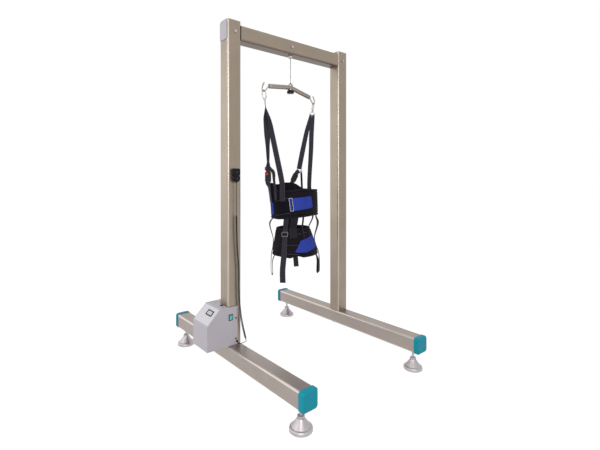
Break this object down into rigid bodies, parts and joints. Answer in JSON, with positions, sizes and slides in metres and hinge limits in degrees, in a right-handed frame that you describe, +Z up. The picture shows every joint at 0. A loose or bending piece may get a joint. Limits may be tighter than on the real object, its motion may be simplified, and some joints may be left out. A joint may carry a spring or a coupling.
{
  "type": "body weight support system",
  "caption": "Free-standing gantry with an electric cable hoist, a spreader bar and a walking harness for gait training, on two foot beams with levelling feet.",
  "frame": {"origin": "on the floor, under the middle of the object's box", "axes": "+X from the motor upright to the far upright, +Y along the foot beams to the back, +Z up"},
  "size_m": [1.256, 1.52, 2.3],
  "materials": {
    "stainless": "brushed stainless tube",
    "bright": "polished plated steel",
    "teal_plastic": "satin moulded",
    "cover_paint": "light powder coat",
    "panel_face": "satin",
    "black_plastic": "fine grain",
    "screen": "pale gloss",
    "switch": "lit",
    "white_plastic": "satin",
    "steel_rope": "wire rope",
    "cast": "cast and painted",
    "board": "lacquered",
    "cord": "soft sheath",
    "webbing": "woven nylon",
    "padding": "padded mesh fabric",
    "blue_fabric": "woven nylon",
    "red_plastic": "moulded"
  },
  "bodies": {
    "frame": {"motor_upright": "stainless", "far_upright": "stainless", "top_beam": "stainless", "motor_foot_beam": "stainless", "far_foot_beam": "stainless", "motor_front_cap": "teal_plastic", "motor_back_cap": "teal_plastic", "far_front_cap": "teal_plastic", "far_back_cap": "teal_plastic", "frame_bolts": "bright", "corner_axle": "bright", "centre_axle": "bright", "pulley_cover": "cover_paint", "cable_bush": "white_plastic", "lift_cable_run": "steel_rope", "lift_cable_drop": "steel_rope", "motor_cover": "cover_paint", "motor_base_plate": "cover_paint", "control_panel": "panel_face", "display_frame": "black_plastic", "display_glass": "screen", "cover_screws": "black_plastic", "rocker_frame": "black_plastic", "drum_brackets": "cover_paint", "gearbox": "cast", "hoist_motor": "black_plastic", "control_board": "board", "mains_inlet": "black_plastic", "handset_holder": "black_plastic", "curly_cord": "cord", "tail_lead": "cord", "cord_gland": "black_plastic"},
    "motor_front_leveller": {"motor_front_foot": "bright"},
    "motor_back_leveller": {"motor_back_foot": "bright"},
    "far_front_leveller": {"far_front_foot": "bright"},
    "far_back_leveller": {"far_back_foot": "bright"},
    "corner_sheave": {"corner_pulley": "white_plastic"},
    "centre_sheave": {"centre_pulley": "white_plastic"},
    "winch": {"winch_drum": "stainless"},
    "rocker": {"power_rocker": "switch"},
    "handset_unit": {"handset": "black_plastic", "handset_lead": "cord"},
    "up_key": {"up_button": "white_plastic"},
    "down_key": {"down_button": "white_plastic"},
    "lift": {"cable_swivel": "black_plastic"},
    "spreader": {"spreader_bar": "stainless", "spreader_hooks": "bright"},
    "harness": {"left_snap_hook": "bright", "right_snap_hook": "bright", "strap_rings": "bright", "vest": "padding", "pelvic_belt": "padding", "blue_panels": "blue_fabric", "belt_slides": "bright", "webbing_straps": "webbing", "buckles": "black_plastic"},
    "left_gate": {"left_snap_gate": "bright"},
    "right_gate": {"right_snap_gate": "bright"},
    "buckle_button": {"red_button": "red_plastic"}
  },
  "joints": [
    {"name": "motor_front_screw", "type": "slide", "parent": "frame", "child": "motor_front_leveller", "axis": [0, 0, 1], "range_m": [-0.03, 0.03]},
    {"name": "motor_back_screw", "type": "slide", "parent": "frame", "child": "motor_back_leveller", "axis": [0, 0, 1], "range_m": [-0.03, 0.03]},
    {"name": "far_front_screw", "type": "slide", "parent": "frame", "child": "far_front_leveller", "axis": [0, 0, 1], "range_m": [-0.03, 0.03]},
    {"name": "far_back_screw", "type": "slide", "parent": "frame", "child": "far_back_leveller", "axis": [0, 0, 1], "range_m": [-0.03, 0.03]},
    {"name": "hoist", "type": "slide", "parent": "frame", "child": "lift", "axis": [0, 0, 1], "range_m": [-0.5, 0.15], "deforming": ["lift_cable_drop"]},
    {"name": "corner_sheave_turn", "type": "hinge", "parent": "frame", "child": "corner_sheave", "pos_m": [-0.426, 0.015, 2.23], "axis": [0, 1, 0], "range_deg": [-335, 1105]},
    {"name": "centre_sheave_turn", "type": "hinge", "parent": "frame", "child": "centre_sheave", "pos_m": [0.044, 0.015, 2.23], "axis": [0, 1, 0], "range_deg": [-335, 1105]},
    {"name": "winch_turn", "type": "hinge", "parent": "frame", "child": "winch", "pos_m": [-0.488, 0.015, 0.33], "axis": [0, 1, 0], "range_deg": [-800, 245]},
    {"name": "power_switch", "type": "hinge", "parent": "frame", "child": "rocker", "pos_m": [-0.4615, -0.035, 0.41], "axis": [1, 0, 0], "range_deg": [-10, 0]},
    {"name": "handset_lift", "type": "slide", "parent": "frame", "child": "handset_unit", "axis": [0, 0, 1], "range_m": [0, 0.03], "deforming": ["curly_cord"]},
    {"name": "up_key_press", "type": "slide", "parent": "handset_unit", "child": "up_key", "axis": [0, 1, 0], "range_m": [0, 0.0015], "stiffness_N_per_m": 500, "springref_m": -0.002},
    {"name": "down_key_press", "type": "slide", "parent": "handset_unit", "child": "down_key", "axis": [0, 1, 0], "range_m": [0, 0.0015], "stiffness_N_per_m": 500, "springref_m": -0.002},
    {"name": "spreader_swivel", "type": "hinge", "parent": "lift", "child": "spreader", "pos_m": [0.07, 0.015, 1.95], "axis": [0, 0, 1], "continuous": true},
    {"name": "harness_swing", "type": "hinge", "parent": "spreader", "child": "harness", "pos_m": [0.07, 0.015, 1.87297], "axis": [0.9763, 0.2164, 0], "range_deg": [-12, 12]},
    {"name": "left_gate_hinge", "type": "hinge", "parent": "harness", "child": "left_gate", "pos_m": [-0.19914, -0.05581, 1.84027], "axis": [-0.7799, -0.6058, -0.1574], "range_deg": [0, 25], "stiffness_Nm_per_rad": 0.02, "springref_deg": -22.92},
    {"name": "right_gate_hinge", "type": "hinge", "parent": "harness", "child": "right_gate", "pos_m": [0.34889, 0.08797, 1.83851], "axis": [0.9629, -0.2194, -0.1574], "range_deg": [0, 25], "stiffness_Nm_per_rad": 0.02, "springref_deg": -22.92},
    {"name": "buckle_press", "type": "slide", "parent": "harness", "child": "buckle_button", "axis": [0.6494, 0.7604, 0], "range_m": [0, 0.002], "stiffness_N_per_m": 600, "springref_m": -0.002}
  ],
  "couplings": [
    {"joint": "winch_turn", "follows": "hoist", "rad_per_m": 27.778},
    {"joint": "corner_sheave_turn", "follows": "hoist", "rad_per_m": -38.462},
    {"joint": "centre_sheave_turn", "follows": "hoist", "rad_per_m": -38.462}
  ]
}
